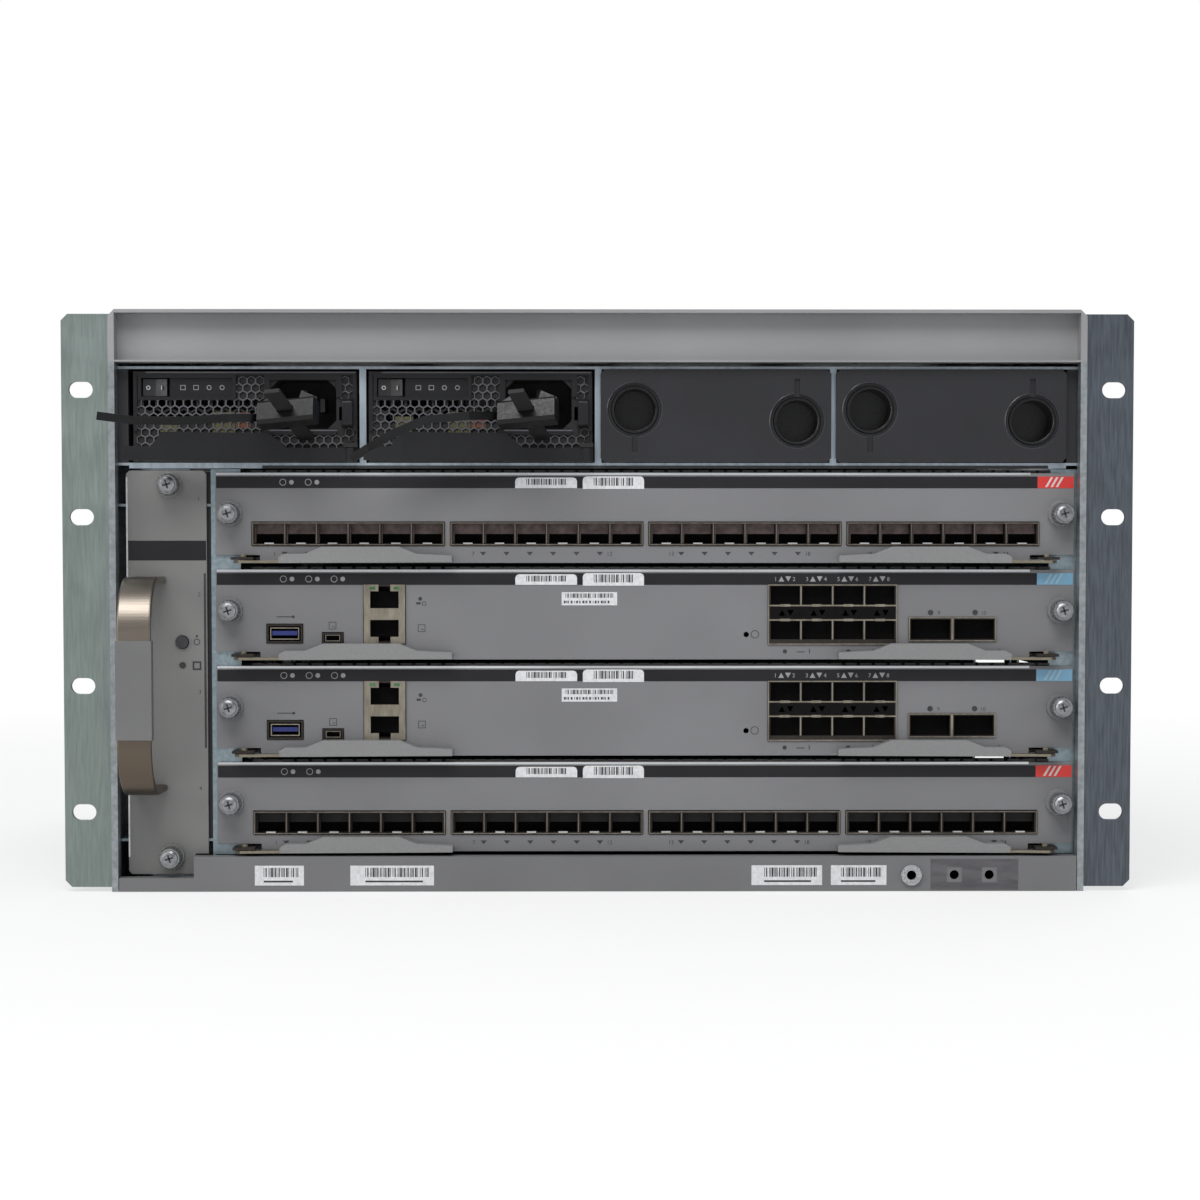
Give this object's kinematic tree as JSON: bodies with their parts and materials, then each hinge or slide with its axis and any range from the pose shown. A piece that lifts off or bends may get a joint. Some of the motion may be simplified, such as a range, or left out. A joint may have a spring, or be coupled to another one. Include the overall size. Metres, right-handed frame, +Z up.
{
  "type": "modular chassis switch",
  "caption": "Rack-mount modular network switch: zinc ears, grey front, stacked sliding cards with ejector levers, fan tray with pull handle, power supplies and blanks.",
  "frame": {"origin": "centre of the underside of the chassis floor", "axes": "+X to the right seen from the front, the front faces -Y, +Z up"},
  "size_m": [0.4826, 0.4618, 0.2624],
  "materials": {
    "painted_grey": "satin light grey paint",
    "zinc_sheet": "clear zinc plate",
    "dark_plastic": "fine moulded texture",
    "light_plastic": "smooth moulded grey",
    "nickel": "satin nickel",
    "black_nylon": "smooth black nylon",
    "board_green": "printed board",
    "screw_steel": "nickel plate"
  },
  "bodies": {
    "chassis": {"chassis_wrap": "painted_grey", "top_cover": "painted_grey", "rear_panel": "zinc_sheet", "top_bezel": "painted_grey", "bottom_bezel": "painted_grey", "esd_jack": "screw_steel", "psu_cage": "zinc_sheet", "bay_trims": "dark_plastic", "rack_ear_left": "zinc_sheet", "rack_ear_right": "zinc_sheet", "ear_screws": "screw_steel", "card_guide_left": "zinc_sheet", "card_guide_right": "zinc_sheet", "backplane": "board_green"},
    "line_card_1": {"line_card_1_faceplate": "painted_grey", "line_card_1_board": "board_green"},
    "line_card_1_lever_left": {"line_card_1_lever_left": "light_plastic"},
    "line_card_1_lever_right": {"line_card_1_lever_right": "light_plastic"},
    "line_card_1_screw_left": {"line_card_1_screw_left": "screw_steel"},
    "line_card_1_screw_right": {"line_card_1_screw_right": "screw_steel"},
    "supervisor_2": {"supervisor_2_faceplate": "painted_grey", "supervisor_2_board": "board_green"},
    "supervisor_2_lever_left": {"supervisor_2_lever_left": "light_plastic"},
    "supervisor_2_lever_right": {"supervisor_2_lever_right": "light_plastic"},
    "supervisor_2_screw_left": {"supervisor_2_screw_left": "screw_steel"},
    "supervisor_2_screw_right": {"supervisor_2_screw_right": "screw_steel"},
    "supervisor_3": {"supervisor_3_faceplate": "painted_grey", "supervisor_3_board": "board_green"},
    "supervisor_3_lever_left": {"supervisor_3_lever_left": "light_plastic"},
    "supervisor_3_lever_right": {"supervisor_3_lever_right": "light_plastic"},
    "supervisor_3_screw_left": {"supervisor_3_screw_left": "screw_steel"},
    "supervisor_3_screw_right": {"supervisor_3_screw_right": "screw_steel"},
    "line_card_4": {"line_card_4_faceplate": "painted_grey", "line_card_4_board": "board_green"},
    "line_card_4_lever_left": {"line_card_4_lever_left": "light_plastic"},
    "line_card_4_lever_right": {"line_card_4_lever_right": "light_plastic"},
    "line_card_4_screw_left": {"line_card_4_screw_left": "screw_steel"},
    "line_card_4_screw_right": {"line_card_4_screw_right": "screw_steel"},
    "fan_tray": {"fan_tray_faceplate": "painted_grey", "fan_tray_frame": "zinc_sheet", "fan_tray_handle": "nickel", "fan_tray_grip": "light_plastic"},
    "fan_tray_screw_top": {"fan_tray_screw_top": "screw_steel"},
    "fan_tray_screw_bottom": {"fan_tray_screw_bottom": "screw_steel"},
    "fan_rotor_1": {"fan_rotor_1": "dark_plastic"},
    "fan_rotor_2": {"fan_rotor_2": "dark_plastic"},
    "fan_rotor_3": {"fan_rotor_3": "dark_plastic"},
    "fan_tray_beacon_button": {"fan_tray_beacon_button": "dark_plastic"},
    "psu_1": {"psu_1_body": "dark_plastic"},
    "psu_1_lever": {"psu_1_lever": "dark_plastic"},
    "psu_1_latch": {"psu_1_latch": "dark_plastic"},
    "psu_1_switch": {"psu_1_switch": "dark_plastic"},
    "psu_1_cord_clamp": {"psu_1_cord_clamp": "black_nylon"},
    "psu_2": {"psu_2_body": "dark_plastic"},
    "psu_2_lever": {"psu_2_lever": "dark_plastic"},
    "psu_2_latch": {"psu_2_latch": "dark_plastic"},
    "psu_2_switch": {"psu_2_switch": "dark_plastic"},
    "psu_2_cord_clamp": {"psu_2_cord_clamp": "black_nylon"},
    "blank_cover_3": {"blank_cover_3": "dark_plastic"},
    "blank_cover_4": {"blank_cover_4": "dark_plastic"}
  },
  "joints": [
    {"name": "line_card_1_slide", "type": "slide", "parent": "chassis", "child": "line_card_1", "axis": [0, -1, 0], "range_m": [0, 0.36]},
    {"name": "line_card_1_lever_left_hinge", "type": "hinge", "parent": "line_card_1", "child": "line_card_1_lever_left", "pos_m": [-0.1605, -0.2006, 0.1486], "axis": [0, 0, -1], "range_deg": [0, 60]},
    {"name": "line_card_1_lever_right_hinge", "type": "hinge", "parent": "line_card_1", "child": "line_card_1_lever_right", "pos_m": [0.2033, -0.2006, 0.1486], "axis": [0, 0, 1], "range_deg": [0, 60]},
    {"name": "line_card_1_screw_left_turn", "type": "hinge", "parent": "line_card_1", "child": "line_card_1_screw_left", "pos_m": [-0.167, -0.196, 0.1709], "axis": [0, -1, 0], "continuous": true},
    {"name": "line_card_1_screw_right_turn", "type": "hinge", "parent": "line_card_1", "child": "line_card_1_screw_right", "pos_m": [0.2098, -0.196, 0.1709], "axis": [0, -1, 0], "continuous": true},
    {"name": "supervisor_2_slide", "type": "slide", "parent": "chassis", "child": "supervisor_2", "axis": [0, -1, 0], "range_m": [0, 0.36]},
    {"name": "supervisor_2_lever_left_hinge", "type": "hinge", "parent": "supervisor_2", "child": "supervisor_2_lever_left", "pos_m": [-0.1605, -0.2006, 0.1048], "axis": [0, 0, -1], "range_deg": [0, 60]},
    {"name": "supervisor_2_lever_right_hinge", "type": "hinge", "parent": "supervisor_2", "child": "supervisor_2_lever_right", "pos_m": [0.2033, -0.2006, 0.1048], "axis": [0, 0, 1], "range_deg": [0, 60]},
    {"name": "supervisor_2_screw_left_turn", "type": "hinge", "parent": "supervisor_2", "child": "supervisor_2_screw_left", "pos_m": [-0.167, -0.196, 0.1271], "axis": [0, -1, 0], "continuous": true},
    {"name": "supervisor_2_screw_right_turn", "type": "hinge", "parent": "supervisor_2", "child": "supervisor_2_screw_right", "pos_m": [0.2098, -0.196, 0.1271], "axis": [0, -1, 0], "continuous": true},
    {"name": "supervisor_3_slide", "type": "slide", "parent": "chassis", "child": "supervisor_3", "axis": [0, -1, 0], "range_m": [0, 0.36]},
    {"name": "supervisor_3_lever_left_hinge", "type": "hinge", "parent": "supervisor_3", "child": "supervisor_3_lever_left", "pos_m": [-0.1605, -0.2006, 0.061], "axis": [0, 0, -1], "range_deg": [0, 60]},
    {"name": "supervisor_3_lever_right_hinge", "type": "hinge", "parent": "supervisor_3", "child": "supervisor_3_lever_right", "pos_m": [0.2033, -0.2006, 0.061], "axis": [0, 0, 1], "range_deg": [0, 60]},
    {"name": "supervisor_3_screw_left_turn", "type": "hinge", "parent": "supervisor_3", "child": "supervisor_3_screw_left", "pos_m": [-0.167, -0.196, 0.0833], "axis": [0, -1, 0], "continuous": true},
    {"name": "supervisor_3_screw_right_turn", "type": "hinge", "parent": "supervisor_3", "child": "supervisor_3_screw_right", "pos_m": [0.2098, -0.196, 0.0833], "axis": [0, -1, 0], "continuous": true},
    {"name": "line_card_4_slide", "type": "slide", "parent": "chassis", "child": "line_card_4", "axis": [0, -1, 0], "range_m": [0, 0.36]},
    {"name": "line_card_4_lever_left_hinge", "type": "hinge", "parent": "line_card_4", "child": "line_card_4_lever_left", "pos_m": [-0.1605, -0.2006, 0.0172], "axis": [0, 0, -1], "range_deg": [0, 60]},
    {"name": "line_card_4_lever_right_hinge", "type": "hinge", "parent": "line_card_4", "child": "line_card_4_lever_right", "pos_m": [0.2033, -0.2006, 0.0172], "axis": [0, 0, 1], "range_deg": [0, 60]},
    {"name": "line_card_4_screw_left_turn", "type": "hinge", "parent": "line_card_4", "child": "line_card_4_screw_left", "pos_m": [-0.167, -0.196, 0.0395], "axis": [0, -1, 0], "continuous": true},
    {"name": "line_card_4_screw_right_turn", "type": "hinge", "parent": "line_card_4", "child": "line_card_4_screw_right", "pos_m": [0.2098, -0.196, 0.0395], "axis": [0, -1, 0], "continuous": true},
    {"name": "fan_tray_slide", "type": "slide", "parent": "chassis", "child": "fan_tray", "axis": [0, -1, 0], "range_m": [0, 0.35]},
    {"name": "fan_tray_screw_top_turn", "type": "hinge", "parent": "fan_tray", "child": "fan_tray_screw_top", "pos_m": [-0.194, -0.196, 0.1839], "axis": [0, -1, 0], "continuous": true},
    {"name": "fan_tray_screw_bottom_turn", "type": "hinge", "parent": "fan_tray", "child": "fan_tray_screw_bottom", "pos_m": [-0.194, -0.196, 0.0152], "axis": [0, -1, 0], "continuous": true},
    {"name": "fan_rotor_1_spin", "type": "hinge", "parent": "fan_tray", "child": "fan_rotor_1", "pos_m": [-0.1956, -0.136, 0.09865], "axis": [1, 0, 0], "continuous": true},
    {"name": "fan_rotor_2_spin", "type": "hinge", "parent": "fan_tray", "child": "fan_rotor_2", "pos_m": [-0.1956, -0.02, 0.09865], "axis": [1, 0, 0], "continuous": true},
    {"name": "fan_rotor_3_spin", "type": "hinge", "parent": "fan_tray", "child": "fan_rotor_3", "pos_m": [-0.1956, 0.096, 0.09865], "axis": [1, 0, 0], "continuous": true},
    {"name": "beacon_button_push", "type": "slide", "parent": "fan_tray", "child": "fan_tray_beacon_button", "axis": [0, 1, 0], "range_m": [0, 0.001], "stiffness_N_per_m": 400, "springref_m": -0.002},
    {"name": "psu_1_slide", "type": "slide", "parent": "chassis", "child": "psu_1", "axis": [0, -1, 0], "range_m": [0, 0.32]},
    {"name": "psu_1_lever_hinge", "type": "hinge", "parent": "psu_1", "child": "psu_1_lever", "pos_m": [-0.1116, -0.2002, 0.1942], "axis": [0, 0, 1], "range_deg": [0, 30]},
    {"name": "psu_1_latch_slide", "type": "slide", "parent": "psu_1", "child": "psu_1_latch", "axis": [-1, 0, 0], "range_m": [0, 0.0025], "stiffness_N_per_m": 500, "springref_m": -0.003},
    {"name": "psu_1_switch_rock", "type": "hinge", "parent": "psu_1", "child": "psu_1_switch", "pos_m": [-0.2001, -0.1914, 0.2237], "axis": [0, 0, 1], "range_deg": [0, 14]},
    {"name": "psu_1_cord_clamp_slide", "type": "slide", "parent": "psu_1", "child": "psu_1_cord_clamp", "axis": [-0.2145, -0.8989, 0.382], "range_m": [0, 0.012]},
    {"name": "psu_2_slide", "type": "slide", "parent": "chassis", "child": "psu_2", "axis": [0, -1, 0], "range_m": [0, 0.32]},
    {"name": "psu_2_lever_hinge", "type": "hinge", "parent": "psu_2", "child": "psu_2_lever", "pos_m": [-0.0052, -0.2002, 0.1942], "axis": [0, 0, 1], "range_deg": [0, 30]},
    {"name": "psu_2_latch_slide", "type": "slide", "parent": "psu_2", "child": "psu_2_latch", "axis": [-1, 0, 0], "range_m": [0, 0.0025], "stiffness_N_per_m": 500, "springref_m": -0.003},
    {"name": "psu_2_switch_rock", "type": "hinge", "parent": "psu_2", "child": "psu_2_switch", "pos_m": [-0.0937, -0.1914, 0.2237], "axis": [0, 0, 1], "range_deg": [0, 14]},
    {"name": "psu_2_cord_clamp_slide", "type": "slide", "parent": "psu_2", "child": "psu_2_cord_clamp", "axis": [-0.2145, -0.8989, 0.382], "range_m": [0, 0.012]},
    {"name": "blank_cover_3_slide", "type": "slide", "parent": "chassis", "child": "blank_cover_3", "axis": [0, -1, 0], "range_m": [0, 0.045]},
    {"name": "blank_cover_4_slide", "type": "slide", "parent": "chassis", "child": "blank_cover_4", "axis": [0, -1, 0], "range_m": [0, 0.045]}
  ]
}
